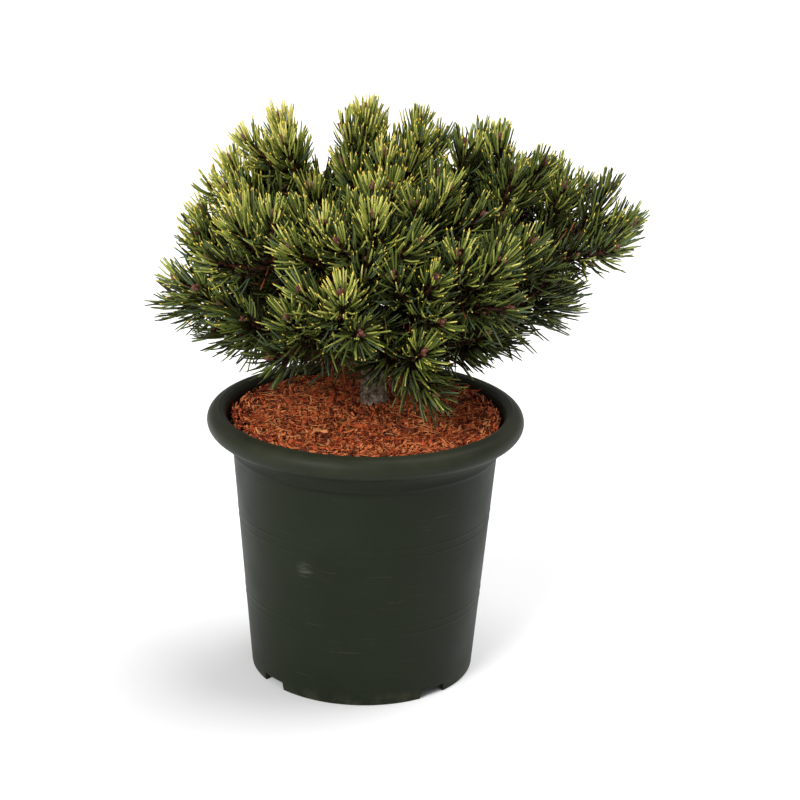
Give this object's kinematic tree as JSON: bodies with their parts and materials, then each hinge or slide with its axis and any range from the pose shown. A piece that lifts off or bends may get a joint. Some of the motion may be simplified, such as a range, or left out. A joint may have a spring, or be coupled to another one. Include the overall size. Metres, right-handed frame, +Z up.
{
  "type": "potted dwarf pine",
  "caption": "Dwarf pine shrub with dense tufts of short needles on a low forking trunk, in a round tapered nursery pot with bark mulch.",
  "frame": {"origin": "centre of the pot's standing face, on the floor", "axes": "+Z up along the pot's axis, -Y towards the front as pictured, +X to the right"},
  "size_m": [0.4284, 0.3525, 0.5002],
  "materials": {
    "pot": "dark green moulded polypropylene, half matt",
    "mulch": "loose red-brown bark chips and fibres",
    "bark": "grey-brown flaky bark",
    "needles": "green needles with yellow tips and red-brown buds"
  },
  "bodies": {
    "root": {"back_far": "needles", "back_far_left": "needles", "back_far_right": "needles", "back_left": "needles", "back_low_left": "needles", "back_low_right": "needles", "back_right": "needles", "back_top": "needles", "bough_back_far": "bark", "bough_back_far_left": "bark", "bough_back_far_right": "bark", "bough_back_low_left": "bark", "bough_back_low_right": "bark", "bough_front_low": "bark", "bough_front_low_left": "bark", "bough_left_front": "bark", "bough_left_low": "bark", "bough_left_out": "bark", "bough_left_side": "bark", "bough_left_upper": "bark", "bough_right_front": "bark", "bough_right_inner": "bark", "bough_right_low": "bark", "bough_right_mid": "bark", "bough_right_out": "bark", "bough_right_tip": "bark", "centre_front": "needles", "centre_mid": "needles", "centre_right": "needles", "centre_top": "needles", "front_left": "needles", "front_low": "needles", "front_low_left": "needles", "front_low_right": "needles", "front_right": "needles", "inner_back": "needles", "inner_left": "needles", "left_front": "needles", "left_low": "needles", "left_out": "needles", "left_side": "needles", "left_top": "needles", "left_upper": "needles", "mulch": "mulch", "pot": "pot", "right_front": "needles", "right_inner": "needles", "right_low": "needles", "right_mid": "needles", "right_out": "needles", "right_tip": "needles", "right_under": "needles", "top_right": "needles", "trunk": "bark", "upper_right": "needles"}
  },
  "joints": []
}
